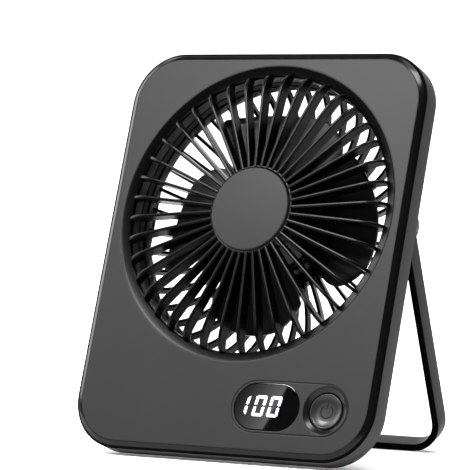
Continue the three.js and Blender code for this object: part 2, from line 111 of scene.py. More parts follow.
# ---------------------------------------------------------------- shapes
class Shape:
    """Points in a local frame and the faces between them."""

    def __init__(self):
        self.points = []
        self.faces = []

    def add(self, points, faces):
        """Takes points, and faces that count from the first of them."""
        start = len(self.points)
        self.points += points
        self.faces += [[start + i for i in face] for face in faces]

    def grid(self, rows, ring=False, tube=True, caps=True):
        """Quads between rows; a tube closes each row on itself, a ring closes the last row on the first."""
        n, m = len(rows), len(rows[0])
        faces = []
        for i in range(n if ring else n - 1):
            for j in range(m if tube else m - 1):
                a, b = i * m + j, i * m + (j + 1) % m
                c, d = (i + 1) % n * m + (j + 1) % m, (i + 1) % n * m + j
                faces.append((a, b, c, d))
        if tube and caps and not ring:
            faces.append(tuple(reversed(range(m))))
            faces.append(tuple(range((n - 1) * m, n * m)))
        self.add([p for row in rows for p in row], faces)

    def lathe(self, profile, steps=144, centre=(0, 0)):
        """A closed profile of (radius, w) turned about an axis along w through centre."""
        cx, cu = centre
        rows = []
        for k in range(steps):
            c, s = math.cos(math.tau * k / steps), math.sin(math.tau * k / steps)
            rows.append([(cx + r * c, w, cu + r * s) for r, w in profile])
        self.grid(rows, ring=True)

    def band(self, loop, section, tube=False):
        """A section of (offset outwards, w) carried round a loop of ((x, u), (nx, nu))."""
        rows = [[(x + nx * o, w, u + nu * o) for o, w in section] for (x, u), (nx, nu) in loop]
        self.grid(rows, ring=True, tube=tube)

    def fill(self, loops, w):
        """A flat face at depth w inside the first loop of (x, u) and outside the others."""
        flat = [[Vector((x, u, 0)) for x, u in loop] for loop in loops]
        points = [(p.x, w, p.y) for loop in flat for p in loop]
        self.add(points, tessellate_polygon(flat))

    def prism(self, outline, front, back):
        """A straight-sided piece with an (x, u) outline."""
        n = len(outline)
        points = [(x, w, u) for w in (front, back) for x, u in outline]
        faces = [(i, (i + 1) % n, n + (i + 1) % n, n + i) for i in range(n)]
        self.add(points, faces + [tuple(range(n)), tuple(range(n, 2 * n))])


def rounded(points, radius, steps=4, closed=True):
    """The corners of an outline, each replaced by a short curve."""
    result = []
    count = len(points)
    for i, p in enumerate(points):
        if not closed and i in (0, count - 1):
            result.append(tuple(p))
            continue
        here = Vector(p)
        before, after = Vector(points[i - 1]), Vector(points[(i + 1) % count])
        size = min(radius, 0.45 * (before - here).length, 0.45 * (after - here).length)
        a = here + (before - here).normalized() * size
        b = here + (after - here).normalized() * size
        for k in range(steps + 1):
            t = k / steps
            result.append(tuple(a * (1 - t) ** 2 + here * 2 * t * (1 - t) + b * t * t))
    return result


def rect_loop(half, top, bottom, radius, steps=16):
    """A rounded rectangle as ((x, u), outward normal), anticlockwise from the front."""
    centres = [
        (half - radius, radius - bottom, -90), (half - radius, top - radius, 0),
        (radius - half, top - radius, 90), (radius - half, radius - bottom, 180),
    ]
    loop = []
    for cx, cu, start in centres:
        for k in range(steps + 1):
            a = math.radians(start + 90 * k / steps)
            n = (math.cos(a), math.sin(a))
            loop.append(((cx + radius * n[0], cu + radius * n[1]), n))
    return loop


def circle_loop(cx, cu, radius, steps=144):
    """A circle as ((x, u), outward normal)."""
    loop = []
    for k in range(steps):
        n = (math.cos(math.tau * k / steps), math.sin(math.tau * k / steps))
        loop.append(((cx + radius * n[0], cu + radius * n[1]), n))
    return loop


def stadium_loop(cx, cu, length, height, steps=32):
    """A bar with round ends as ((x, u), outward normal)."""
    r = height / 2
    loop = []
    for side, start in ((1, -90), (-1, 90)):
        for k in range(steps + 1):
            a = math.radians(start + 180 * k / steps)
            n = (math.cos(a), math.sin(a))
            loop.append(((cx + side * (length / 2 - r) + r * n[0], cu + r * n[1]), n))
    return loop


def moved(loop, offset):
    """The loop's points, moved outwards by an offset."""
    return [(x + nx * offset, u + nu * offset) for (x, u), (nx, nu) in loop]


def piece(name, shape, body, material, replaces, matrix=BODY, sharp=38):
    """Makes the shape an object that rides on a body, shaded smooth but for edges over sharp degrees."""
    data = bpy.data.meshes.new(name)
    data.from_pydata([matrix @ Vector(p) for p in shape.points], [], shape.faces)
    mesh = bmesh.new()
    mesh.from_mesh(data)
    bmesh.ops.remove_doubles(mesh, verts=mesh.verts, dist=WELD)
    bmesh.ops.dissolve_degenerate(mesh, edges=mesh.edges, dist=SLIVER)
    bmesh.ops.recalc_face_normals(mesh, faces=mesh.faces)
    mesh.to_mesh(data)
    mesh.free()
    data.shade_smooth()
    data.set_sharp_from_angle(angle=math.radians(sharp))
    data.materials.append(material)
    obj = bpy.data.objects.new(name, data)
    bpy.context.scene.collection.objects.link(obj)
    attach(obj, body)
    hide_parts(*replaces)


# ---------------------------------------------------------------- materials
CLOUD_SCALE = 22
RELIEF = 0.35
COAT_ROUGHNESS = 0.08


def surface(name, low, high, roughness, metallic=0.0, grain=1800, bump=0.02, coat=0.0,
            streaks=None, rough_spread=0.06, specular=0.5):
    """A procedural finish: two near colours, uneven roughness and a fine grain bump millimetres deep."""
    material = bpy.data.materials.new(name)
    material.use_nodes = True
    nodes, links = material.node_tree.nodes, material.node_tree.links
    shader = nodes["Principled BSDF"]
    shader.inputs["Metallic"].default_value = metallic
    shader.inputs["Specular IOR Level"].default_value = specular
    shader.inputs["Coat Weight"].default_value = coat
    shader.inputs["Coat Roughness"].default_value = COAT_ROUGHNESS
    place = nodes.new("ShaderNodeTexCoord")
    stretch = nodes.new("ShaderNodeMapping")
    stretch.inputs["Scale"].default_value = streaks or (1, 1, 1)
    links.new(place.outputs["Object"], stretch.inputs["Vector"])

    cloud = nodes.new("ShaderNodeTexNoise")
    cloud.inputs["Scale"].default_value = CLOUD_SCALE
    cloud.inputs["Detail"].default_value = 6
    links.new(stretch.outputs["Vector"], cloud.inputs["Vector"])
    fine = nodes.new("ShaderNodeTexNoise")
    fine.inputs["Scale"].default_value = grain
    fine.inputs["Detail"].default_value = 3
    links.new(stretch.outputs["Vector"], fine.inputs["Vector"])

    mix = nodes.new("ShaderNodeMix")
    mix.data_type = "RGBA"
    mix.inputs["A"].default_value = (*low, 1)
    mix.inputs["B"].default_value = (*high, 1)
    links.new(cloud.outputs["Fac"], mix.inputs["Factor"])
    links.new(mix.outputs["Result"], shader.inputs["Base Color"])

    spread = nodes.new("ShaderNodeMapRange")
    spread.inputs["To Min"].default_value = max(0.02, roughness - rough_spread)
    spread.inputs["To Max"].default_value = roughness + rough_spread
    links.new(fine.outputs["Fac"], spread.inputs["Value"])
    links.new(spread.outputs["Result"], shader.inputs["Roughness"])

    relief = nodes.new("ShaderNodeBump")
    relief.inputs["Strength"].default_value = RELIEF
    relief.inputs["Distance"].default_value = bump / 1000
    links.new(fine.outputs["Fac"], relief.inputs["Height"])
    links.new(relief.outputs["Normal"], shader.inputs["Normal"])
    return material


def grey(level):
    """A grey that is very slightly blue."""
    return (level, level, level * 1.02)


COVER = surface("cover_plastic", grey(0.0125), grey(0.0155), 0.42, grain=2600, bump=0.012, specular=0.07)
SIDE = surface("side_plastic", grey(0.027), grey(0.031), 0.5, grain=2600, bump=0.012, specular=0.05)
CAP = surface("cap_plastic", grey(0.0135), grey(0.0165), 0.45, grain=2600, bump=0.012, specular=0.07)
TRIM_BLACK = surface("trim_gloss", grey(0.0015), grey(0.0025), 0.16, grain=900, bump=0.002,
                     rough_spread=0.03, specular=0.11)
# A matt black with no shine, used as painted shade: it darkens the trim's outer edge and the stand's front
# edge.
PAINTED_SHADE_BLACK = surface("painted_shade_matte", grey(0.0012), grey(0.002), 0.7, grain=1800, bump=0.01, specular=0.0)
GRILLE = surface("grille_plastic", grey(0.0004), grey(0.0008), 0.26, grain=2200, bump=0.006, specular=0.065)
DUCT = surface("duct_plastic", grey(0.003), grey(0.004), 0.5, grain=2200, bump=0.006, specular=0.06)
BLADE = surface("blade_plastic", grey(0.002), grey(0.003), 0.34, grain=1500, bump=0.004, specular=0.09)
GLASS = surface("window_gloss", grey(0.0006), grey(0.0009), 0.015, grain=500, bump=0.0002,
                rough_spread=0.005)
BUTTON = surface("button_plastic", grey(0.006), grey(0.009), 0.32, grain=1800, bump=0.004, specular=0.22)
INK = surface("printed_black", grey(0.001), grey(0.0015), 0.6, grain=1800, bump=0.002, specular=0.1)
WELL_BLACK = surface("well_gloss", grey(0.003), grey(0.004), 0.24, grain=1500, bump=0.003, specular=0.12)
STAND_PLASTIC = surface("stand_plastic", grey(0.013), grey(0.016), 0.45, grain=2600, bump=0.012,
                        specular=0.06)
REAR_PLASTIC = surface("rear_plastic", grey(0.036), grey(0.043), 0.5, grain=2200, bump=0.02, specular=0.2)
STEEL = surface("turned_steel", (0.42, 0.42, 0.43), (0.58, 0.58, 0.59), 0.3, 1.0, grain=1500, bump=0.004,
                streaks=(1, 1, 9))
BLACKED = surface("blacked_steel", (0.006, 0.006, 0.007), (0.011, 0.011, 0.012), 0.35, grain=1500,
                  bump=0.004, specular=0.3)
MAGNET = surface("sintered_magnet", (0.05, 0.05, 0.055), (0.08, 0.08, 0.085), 0.5, 0.7, grain=2500,
                 bump=0.02)
COPPER = surface("enamelled_wire", (0.42, 0.13, 0.05), (0.62, 0.24, 0.10), 0.3, 1.0, grain=1200, bump=0.05,
                 streaks=(1, 1, 14))
BOARD = surface("solder_mask", (0.006, 0.06, 0.02), (0.012, 0.10, 0.035), 0.35, grain=700, bump=0.01,
                coat=0.4)
FOIL = surface("battery_foil", (0.35, 0.36, 0.38), (0.52, 0.53, 0.55), 0.36, 0.9, grain=300, bump=0.06)
RUBBER = surface("washer_rubber", grey(0.010), grey(0.016), 0.75, grain=2600, bump=0.02)


def lit_material():
    """The display's lit segments: white, with a weak glow."""
    material = surface("lit_segments", (0.75, 0.78, 0.80), (0.90, 0.92, 0.95), 0.5, grain=1200, bump=0.001)
    shader = material.node_tree.nodes["Principled BSDF"]
    shader.inputs["Emission Color"].default_value = (0.95, 0.97, 1.0, 1)
    shader.inputs["Emission Strength"].default_value = 0.2
    return material


LIT = lit_material()

# ---------------------------------------------------------------- front cover, trim and side frame
RACETRACK = stadium_loop(RACETRACK_X, PANEL_U, *RACETRACK_SIZE)
WINDOW = stadium_loop(WINDOW_X, PANEL_U, *WINDOW_SIZE)
WELL = circle_loop(BUTTON_X, PANEL_U, WELL_R)
BORE = circle_loop(0, 0, BORE_R, steps=240)


def front_cover():
    """The face plate with the opening's wall, the control row's openings and the lining of the well."""
    shape = Shape()
    outline = rect_loop(**FACE)
    groove = [
        (0.45, 0), (0.25, 0), (0.12, 0.06), (0.02, 0.35),
        (-0.30, 0.35), (-0.40, 0.06), (-0.53, 0), (-0.75, 0),
    ]
    shape.band(outline, [(-0.70, 0), (-0.30, 0), (-0.12, 0.05), (-0.05, 0.2), (-0.05, PLATE_BACK)])
    shape.band(BORE, [
        (0.9, 0), (0.25, 0), (0.07, 0.07), (0, 0.25), (0, BORE_BACK), (1.6, BORE_BACK), (1.6, PLATE_BACK),
    ])
    shape.band(RACETRACK, groove)
    shape.band(WINDOW, [(0.5, 0), (0.16, 0), (0.04, 0.04), (0, 0.16), (0, PLATE_BACK)])
    shape.band(WELL, [(0.7, 0), (0.3, 0), (0.08, 0.08), (0, 0.3), (0, PLATE_BACK)])
    shape.fill([moved(outline, -0.70), moved(BORE, 0.9), moved(RACETRACK, 0.45)], 0)
    shape.fill([moved(RACETRACK, -0.75), moved(WINDOW, 0.5), moved(WELL, 0.7)], 0)
    shape.fill([moved(outline, -0.05), moved(BORE, 1.6), moved(WINDOW, 0), moved(WELL, 0)], PLATE_BACK)
    piece("front_cover_shell", shape, "housing", COVER, ["front_cover"])

    lining = Shape()
    lining.lathe([
        (10.55, 0.16), (10.48, 0.08), (10.4, 0.1), (10.3, 0.155), (8.6, 1.14), (8.5, 1.21), (8.35, 1.4),
        (8.3, 1.7), (8.3, 4.6), (9.7, 4.6), (9.7, PLATE_BACK), (10.55, 2.3),
    ], steps=96, centre=(BUTTON_X, PANEL_U))
    piece("button_well_lining", lining, "housing", WELL_BLACK, ["front_cover"])


def edge_trim():
    """The chamfered trim round the face: a glossy band, and outside it a matt black rim that is painted
    shade.
    """
    split = TRIM - RIM
    foot = TRIM_FOOT * split / TRIM
    band = [(0.05, 0.0), (split, foot), (split, TRIM_BACK), (0.05, TRIM_BACK)]
    # The rim's section is painted shade: matt black where the trim's outer edge falls dark.
    rim = [(split + 0.02, foot), (TRIM, TRIM_FOOT), (TRIM, TRIM_BACK), (split + 0.02, TRIM_BACK)]
    for name, section, finish in (
        ("edge_trim_band", band, TRIM_BLACK),
        ("edge_trim_painted_shade_rim", rim, PAINTED_SHADE_BLACK),
    ):
        shape = Shape()
        shape.band(rect_loop(**FACE), rounded(section, 0.08), tube=True)
        piece(name, shape, "housing", finish, ["edge_trim"])


def side_frame():
    """The body's side wall, with a ledge inside it behind the front cover."""
    inner = TRIM - 2
    ledge_reach, ledge_front, ledge_back = -1.9, 2.7, 4.2
    section = rounded([
        (TRIM, FRAME_FRONT), (TRIM, FRAME_BACK), (inner, FRAME_BACK), (inner, ledge_back),
        (ledge_reach, ledge_back), (ledge_reach, ledge_front), (0.6, ledge_front), (0.6, FRAME_FRONT),
    ], 0.5)
    shape = Shape()
    shape.band(rect_loop(**FACE), section, tube=True)
    piece("side_frame_wall", shape, "housing", SIDE, ["side_frame"])


def duct_ring():
    """The stepped ring behind the opening's wall."""
    front, step, back = 8.6, 12.6, 14.2
    shape = Shape()
    shape.lathe(rounded([
        (64.3, front), (67.2, front), (67.2, back), (65.6, back), (65.6, step), (64.3, step),
    ], 0.15), steps=240)
    piece("duct_steps", shape, "housing", DUCT, ["duct_ring"])


# ---------------------------------------------------------------- grilles
def rib(shape, front, back, angle):
    """A rib in the plane at this angle, between its front and back edges, with rounded edges."""
    c, s = math.cos(angle), math.sin(angle)
    h = RIB_THICK / 2
    rows = []
    for f, b in zip(front, back):
        run = Vector(b) - Vector(f)
        length = run.length
        along = run / length
        ends = min(RIB_EDGE, length * 0.3)
        # The points at 1.4 keep the shading of the round edges off the flat sides.
        near = [(0, 0.66 * h), (ends * 0.3, 0.88 * h), (ends, h), (ends * 1.4, h)]
        half_section = near + [(length - d, t) for d, t in reversed(near)]
        section = half_section + [(d, -t) for d, t in reversed(half_section)]
        row = []
        for d, t in section:
            r, w = f[0] + along.x * d, f[1] + along.y * d
            row.append((r * c - t * s, w, r * s + t * c))
        rows.append(row)
    shape.grid(rows)


def resampled(points, count):
    """The same line, as evenly spaced points."""
    points = [Vector(p) for p in points]
    lengths = [0]
    for a, b in zip(points, points[1:]):
        lengths.append(lengths[-1] + (b - a).length)
    result = []
    for k in range(count):
        want = lengths[-1] * k / (count - 1)
        i = max(j for j in range(len(points) - 1) if lengths[j] <= want + 1e-9)
        t = (want - lengths[i]) / (lengths[i + 1] - lengths[i])
        result.append(tuple(points[i].lerp(points[i + 1], t)))
    return result


def front_grille():
    """Ribs that run straight from the hub and curve back into the opening, the lip round them, the hub."""
    hub, straight = 19.9, 55.6
    reach, fall, foot = 10.0, 5.8, 1.6
    steps = 12
    front = [(hub, RIB_FRONT), (38, RIB_FRONT), (straight, RIB_FRONT)]
    for k in range(1, steps + 1):
        a = math.pi / 2 * k / steps
        front.append((straight + reach * math.sin(a), foot - fall * math.cos(a)))
    front.append((65.65, 3.0))
    back = [
        (hub, RIB_BACK), (38, RIB_BACK), (53, RIB_BACK), (59, 2.25), (61.5, 2.7), (63.4, 3.6), (64.6, 4.6),
        (65.2, 5.6),
    ]
    shape = Shape()
    for angle in RIBS:
        rib(shape, resampled(front, 22), resampled(back, 22), angle)
    lip = [
        (68.92, 0.4), (68.9, 0.1), (68.75, 0.12), (68.5, 0.19), (68.2, 0.29), (65.3, 1.27), (65.05, 1.4),
        (64.7, 1.8), (64.5, 2.4), (64.5, 3.1), (64.5, 8.1), (64.7, 8.3), (66.1, 8.3), (66.1, 3.8),
        (68.7, 2.2),
    ]
    shape.lathe(lip, steps=240)
    seat = [
        (0, -2.4), (19.4, -2.4), (19.4, -3.9), (20.6, -3.9), (20.6, RIB_BACK), (18.4, RIB_BACK), (18.4, -0.4),
        (0, -0.4),
    ]
    shape.lathe(rounded(seat, 0.3, closed=False), steps=120)
    piece("front_grille_ribs", shape, "housing", GRILLE, ["front_grille"])


def grille_cap():
    """The flat disc in the middle of the front grille."""
    front, back = -5.1, -2.7
    shape = Shape()
    profile = [(0, front), (CAP_R, front), (CAP_R, back), (0, back)]
    shape.lathe(rounded(profile, 0.45, steps=6, closed=False), steps=160)
    piece("grille_cap_disc", shape, "housing", CAP, ["grille_cap"])


def bezier(points, t):
    """The place at t on a curve through four control points, and its direction there."""
    a, b, c, d = [Vector(p) for p in points]
    s = 1 - t
    place = a * s ** 3 + b * 3 * s * s * t + c * 3 * s * t * t + d * t ** 3
    way = (b - a) * s * s + (c - b) * 2 * s * t + (d - c) * t * t
    return place, way.normalized()


MOTOR_SCREWS = [
    (MOTOR_SCREW_R * math.cos(a), MOTOR_SCREW_R * math.sin(a))
    for a in (math.radians(90), math.radians(210), math.radians(330))
]


def rear_grille():
    """Domed ribs from the duct back to the motor's seat, the ring they start from and the screw posts."""
    spine = [(64.6, 16.4), (61.6, 26.5), (48.0, 37.0), (22.5, 39.4)]
    half_depth = 1.9
    steps = 20
    front, back = [], []
    for k in range(steps + 1):
        place, way = bezier(spine, k / steps)
        side = Vector((way.y, -way.x))
        grow = min(1, 0.55 + k / 6)
        front.append(tuple(place - side * half_depth * grow))
        back.append(tuple(place + side * half_depth * grow))
    shape = Shape()
    for angle in RIBS:
        rib(shape, front, back, angle)
    ring = [(63.8, 12.9), (64.9, 12.9), (64.9, 18.0), (63.8, 18.0)]
    shape.lathe(rounded(ring, 0.2), steps=240)
    seat = [
        (0, 38.2), (19.0, 38.2), (19.0, 27.3), (21.2, 27.3), (21.2, 36.2), (24.5, 36.2), (24.5, 41.4),
        (20.2, 41.4), (19.6, 40.9), (0, 40.9),
    ]
    shape.lathe(rounded(seat, 0.35, closed=False), steps=120)
    post = [(1.3, 27.3), (2.3, 27.3), (2.3, 38.5), (1.3, 38.5)]
    for spot in MOTOR_SCREWS:
        shape.lathe(rounded(post, 0.2), steps=24, centre=spot)
    piece("rear_grille_ribs", shape, "housing", GRILLE, ["rear_grille"])


# ---------------------------------------------------------------- rear cover
COVER_SCREWS = [(-58.5, 58.5), (58.5, 58.5), (-61, -70), (61, -70)]
USB = (48, -82)


def rear_cover():
    """The tub behind the body, open for the rear grille, the charging port and the screws."""
    shape = Shape()
    outline = rect_loop(**REAR)
    hole = circle_loop(0, 0, 67.4, steps=240)
    port = stadium_loop(*USB, 9.8, 4.0, steps=12)
    sinks = [circle_loop(x, u, 2.9, steps=32) for x, u in COVER_SCREWS]
    shape.band(outline, [
        (-3.2, REAR_BACK), (-2.6, REAR_BACK), (-1.3, 19.85), (-0.45, 19.1), (0, 17.8), (0, TUB_FRONT),
        (-2, TUB_FRONT), (-2, TUB_INSIDE),
    ])
    shape.band(hole, [
        (0.05, REAR_BACK - 0.02), (-0.2, 20.05), (-2.1, 18.35), (-2.2, 18.1), (-2.2, 14.5), (-0.2, 14.5),
        (-0.2, TUB_INSIDE),
    ])
    shape.band(port, [(0.6, REAR_BACK), (0.35, REAR_BACK), (0.08, 20.1), (0, 19.8), (0, TUB_INSIDE)])
    for sink in sinks:
        shape.band(sink, [
            (0.6, REAR_BACK), (0.3, REAR_BACK), (0.05, 20.05), (0, 19.7), (0, 18.4), (-1.4, 18.4),
            (-1.4, 9.3), (0.7, 9.3), (0.7, TUB_INSIDE),
        ])
    holes = [moved(hole, 0.05), moved(port, 0.6)] + [moved(sink, 0.6) for sink in sinks]
    shape.fill([moved(outline, -3.2)] + holes, REAR_BACK)
    inner = [moved(hole, -0.2), moved(port, 0)] + [moved(sink, 0.7) for sink in sinks]
    shape.fill([moved(outline, -2)] + inner, TUB_INSIDE)
    piece("rear_cover_tub", shape, "housing", REAR_PLASTIC, ["rear_cover"])


def screw(name, x, u):
    """A pan-head screw pointing forwards: a thin cross over a round recess, and a ringed shank."""
    shaft, head, pitch = 1.2, 2.3, 0.8
    tip, seat, top = 4.2, 18.9, 20.0
    shape = Shape()
    profile = [
        (0, top - 0.55), (head * 0.25, top - 0.55), (head * 0.32, top), (head * 0.7, top - 0.06),
        (head * 0.95, top - 0.3), (head, top - 0.6), (head, seat), (shaft, seat),
    ]
    w = seat - 0.6
    while w > tip + 1.2:
        profile += [(shaft, w), (shaft * 0.78, w - pitch / 2)]
        w -= pitch
    profile += [(shaft * 0.78, tip + 0.9), (0, tip)]
    shape.lathe(profile, steps=28, centre=(x, u))
    for turn in (0, 90):
        a = math.radians(turn + 20)
        along = Vector((math.cos(a), math.sin(a)))
        across = Vector((-along.y, along.x)) * head * 0.13
        ends = [along * head * 0.55 * k for k in (1, -1)]
        corners = [ends[0] + across, ends[1] + across, ends[1] - across, ends[0] - across]
        shape.prism([(x + p.x, u + p.y) for p in corners], top - 0.02, top + 0.05)
    piece(name + "_turned", shape, "housing", BLACKED, [name])


# ---------------------------------------------------------------- controls
def display_window():
    """The glossy pane over the display."""
    back = 1.6
    shape = Shape()
    loop = stadium_loop(WINDOW_X, PANEL_U, *GLASS_SIZE)
    shape.band(loop, [(-0.5, GLASS_FRONT), (-0.12, GLASS_FRONT), (-0.03, 0.14), (0, 0.22), (0, back)])
    shape.fill([moved(loop, -0.5)], GLASS_FRONT)
    shape.fill([moved(loop, 0)], back)
    piece("display_window_glass", shape, "housing", GLASS, ["display_window"])


def segments(left, width, names):
    """Slanted bars of a seven-segment figure, as (x, u) outlines."""
    height, stroke, gap, slant = 9.3, 1.3, 0.34, 0.16
    low, mid = PANEL_U - height / 2 + 0.35, height / 2
    shoulder = mid + 0.55
    right_upper = [
        (width, height - gap), (width - stroke, height - stroke - gap), (width - stroke, shoulder),
        (width - stroke / 2, mid + gap), (width, shoulder),
    ]
    top = [
        (gap, height), (width - gap, height), (width - stroke - gap, height - stroke),
        (stroke + gap, height - stroke),
    ]
    left_upper = [(width - x, u) for x, u in right_upper]
    bars = {
        "top": top,
        "right_upper": right_upper,
        "left_upper": left_upper,
        "bottom": [(x, height - u) for x, u in top],
        "right_lower": [(x, height - u) for x, u in right_upper],
        "left_lower": [(x, height - u) for x, u in left_upper],
    }
    return [[(left + x + slant * (u - mid), low + u) for x, u in bars[name]] for name in names]


def display_module():
    """The lit figures just in front of the window's face, and the three blocks of the module behind it."""
    shape = Shape()
    around = ["top", "bottom", "left_upper", "left_lower", "right_upper", "right_lower"]
    width = 5.4
    bars = segments(8.5, width, around[4:])
    bars += segments(16.8, width, around) + segments(24.2, width, around)
    for bar in bars:
        shape.prism(rounded(bar, 0.05, steps=2), 0.04, 0.11)
    reach, low, high = 3.2, -94, -83
    for x in (15.4, 22.6, 29.8):
        block = [(x - reach, low), (x + reach, low), (x + reach, high), (x - reach, high)]
        shape.prism(rounded(block, 0.5), 4.35, 5.6)
    piece("display_segments", shape, "housing", LIT, ["display_module"])


def power_button():
    """The round dished cap, and the power symbol that follows the dish."""
    rim, dish_r, floor_r = 7.8, 6.9, 4.0
    deep, skirt, back = 2.05, 3.0, 3.3
    steps = 18

    def dish(r):
        """How far back the cap's surface is at this radius."""
        rise = max(0, (r - floor_r) / (dish_r - floor_r))
        return deep - 0.1 * (r / floor_r if r < floor_r else 1) ** 2 - 0.75 * rise ** 1.6

    radii = [dish_r * k / steps for k in range(1, steps + 1)]
    profile = [(0, dish(0))] + [(r, dish(r)) for r in radii]
    profile += [
        (7.1, 1.06), (7.35, 1.0), (7.6, 1.06), (7.75, 1.22), (rim, 1.45), (rim, skirt), (2.0, skirt),
        (2.0, back), (0, back),
    ]
    shape = Shape()
    shape.lathe(profile, steps=96, centre=(BUTTON_X, PANEL_U))
    piece("power_button_cap", shape, "button", BUTTON, ["power_button"])

    symbol = Shape()
    mark = [(-0.34, 0.03), (-0.26, -0.05), (0.26, -0.05), (0.34, 0.03)]
    arc_r, arc_start, arc_turn, arc_steps = 2.9, 125, 290, 40
    rows = []
    for k in range(arc_steps + 1):
        a = math.radians(arc_start + arc_turn * k / arc_steps)
        row = []
        for across, lift in mark:
            radius = arc_r + across
            row.append((BUTTON_X + radius * math.cos(a), dish(radius) + lift, PANEL_U + radius * math.sin(a)))
        rows.append(row)
    symbol.grid(rows)
    bar_foot, bar_length, bar_steps = 1.2, 2.8, 8
    rows = []
    for k in range(bar_steps + 1):
        u = bar_foot + bar_length * k / bar_steps
        rows.append([(BUTTON_X + x, dish(math.hypot(x, u)) + lift, PANEL_U + u) for x, lift in mark])
    symbol.grid(rows)
    piece("power_button_symbol", symbol, "button", INK, ["power_button"])


# ---------------------------------------------------------------- impeller
def impeller():
    """The hub's cup and four swept blades, closed at their inner and outer ends."""
    shape = Shape()
    cup_front, cup_back, cup_r, bore_r = 3.2, 22.6, 20.0, 1.8
    shape.lathe(rounded([
        (bore_r, cup_front), (18.6, cup_front), (cup_r, 4.6), (cup_r, cup_back), (18.4, cup_back),
        (18.4, 5.2), (4.0, 5.2), (4.0, 6.9), (bore_r, 6.9),
    ], 0.5), steps=120)
    inner, tip, half_thick = 19.2, 52.0, 0.72
    spans, columns = 18, 33
    radii = [inner + (tip - inner) * (1 - (1 - k / spans) ** 1.35) for k in range(spans + 1)]
    for k in range(BLADES):
        rows = []
        for r in radii:
            out = (r - inner) / (tip - inner)
            # The rear and front edges' angles from the blade's middle, in degrees.
            rear = -37 + 19 * max(0, (r - 36) / 16) ** 3
            front = 42 - 3 * out - 5 * max(0, (r - 49) / 3) ** 2
            upper, lower = [], []
            for j in range(columns):
                s = j / (columns - 1)
                a = math.radians(360 / BLADES * k + BLADE_START + rear + (front - rear) * s)
                depth = 21.6 + 1.2 * out - (16.6 + 0.4 * out) * s ** (1.3 + 1.4 * out) - 0.75
                # The blade is thin at both edges and thins towards its tip.
                edge = min(s, 1 - s) * 14
                half = half_thick * math.sqrt(max(0.04, min(1, edge))) * (1 - 0.25 * out)
                upper.append((r * math.cos(a), depth + half, r * math.sin(a)))
                lower.append((r * math.cos(a), depth - half, r * math.sin(a)))
            rows.append(upper + lower[::-1])
        n = 2 * columns
        shape.grid(rows, caps=False)
        for row in (rows[0], rows[-1]):
            faces = [(j, j + 1, n - 2 - j, n - 1 - j) for j in range(columns - 1)]
            shape.add(row, faces)
    piece("impeller_blades", shape, "rotor", BLADE, ["impeller"], sharp=55)


# ---------------------------------------------------------------- stand
def stand_bail():
    """The U-shaped bar from ear to ear, in the stand's frame: a grey bar with a black front edge that is
    painted shade.
    """
    half, thick, length, radius = 71.5, 3.1, 107.6, 15.5
    front, back, ear = -7.5, 1.2, 5.5
    ear_end, ear_reach, neck = -1.37, -5.33, -14
    heights = [
        5.49, 5.3, 4.9, 4.2, 3.2, 2.0, 0.8, -0.4, ear_end, -2.6,
        -3.8, -4.7, -5.2, -5.6, -8, -11, -13.4, -14.2, -18,
    ]

    def edges(z):
        """The leg's front and back edges at this height: round at the ear, then widening to the bar."""
        low = front if z < neck else front + (ear_reach - front) * (z - neck) / (ear_end - neck)
        high = back
        if z > ear_end:
            low = -math.sqrt(ear * ear - z * z)
        if z > -math.sqrt(ear * ear - back * back):
            high = math.sqrt(ear * ear - z * z)
        return low, high

    path = [((half, z), (1, 0), edges(z)) for z in heights]
    for k in range(13):
        a = math.radians(90 * k / 12)
        n = (math.cos(a), -math.sin(a))
        spot = (half - radius + radius * n[0], radius - length + radius * n[1])
        path.append((spot, n, (front, back)))
    path += [((-x, z), (-nx, nz), ends) for (x, z), (nx, nz), ends in reversed(path)]
    # The black front edge is painted shade: a matt black strip on the narrow face that looks towards the
    # camera.
    for name, finish, in_front in (
        ("stand_bail_bar", STAND_PLASTIC, False),
        ("stand_bail_painted_shade_edge", PAINTED_SHADE_BLACK, True),
    ):
        rows = []
        for (x, z), (nx, nz), (low, high) in path:
            seam = low + min(0.6, (high - low) * 0.2)
            soft = min(0.25, (high - low) * 0.08)
            start, end = (low, seam - 0.01) if in_front else (seam, high)
            section = rounded([(0, start), (0, end), (-thick, end), (-thick, start)], soft)
            rows.append([(x + nx * o, y, z + nz * o) for o, y in section])
        shape = Shape()
        shape.grid(rows)
        piece(name, shape, "stand", finish, ["stand_bail"], STAND)


def hinge(side, sign):
    """A domed pin head with a round recess on the outside of the stand's ear, and its shank."""
    recess, seat, tip, shank = 71.75, 71.4, 65.9, 2.0
    steps = 48
    profile = rounded([
        (0, recess), (1.5, recess), (1.5, 72.35), (2.6, 72.3), (3.4, 71.9), (3.5, seat), (shank, seat),
        (shank, tip), (0, tip),
    ], 0.12, steps=3)
    rows = []
    for k in range(steps):
        c, s = math.cos(math.tau * k / steps), math.sin(math.tau * k / steps)
        rows.append([(sign * x, r * c, r * s) for r, x in profile])
    shape = Shape()
    shape.grid(rows, ring=True)
    piece(f"hinge_pin_{side}_turned", shape, "housing", BLACKED, [f"hinge_pin_{side}"], STAND)


front_cover()
edge_trim()
side_frame()
duct_ring()
front_grille()
grille_cap()
rear_grille()
rear_cover()
display_window()
display_module()
power_button()
impeller()
stand_bail()
hinge("left", -1)
hinge("right", 1)
for index, (x, u) in enumerate(COVER_SCREWS):
    screw(f"cover_screw_{index + 1}", x, u)

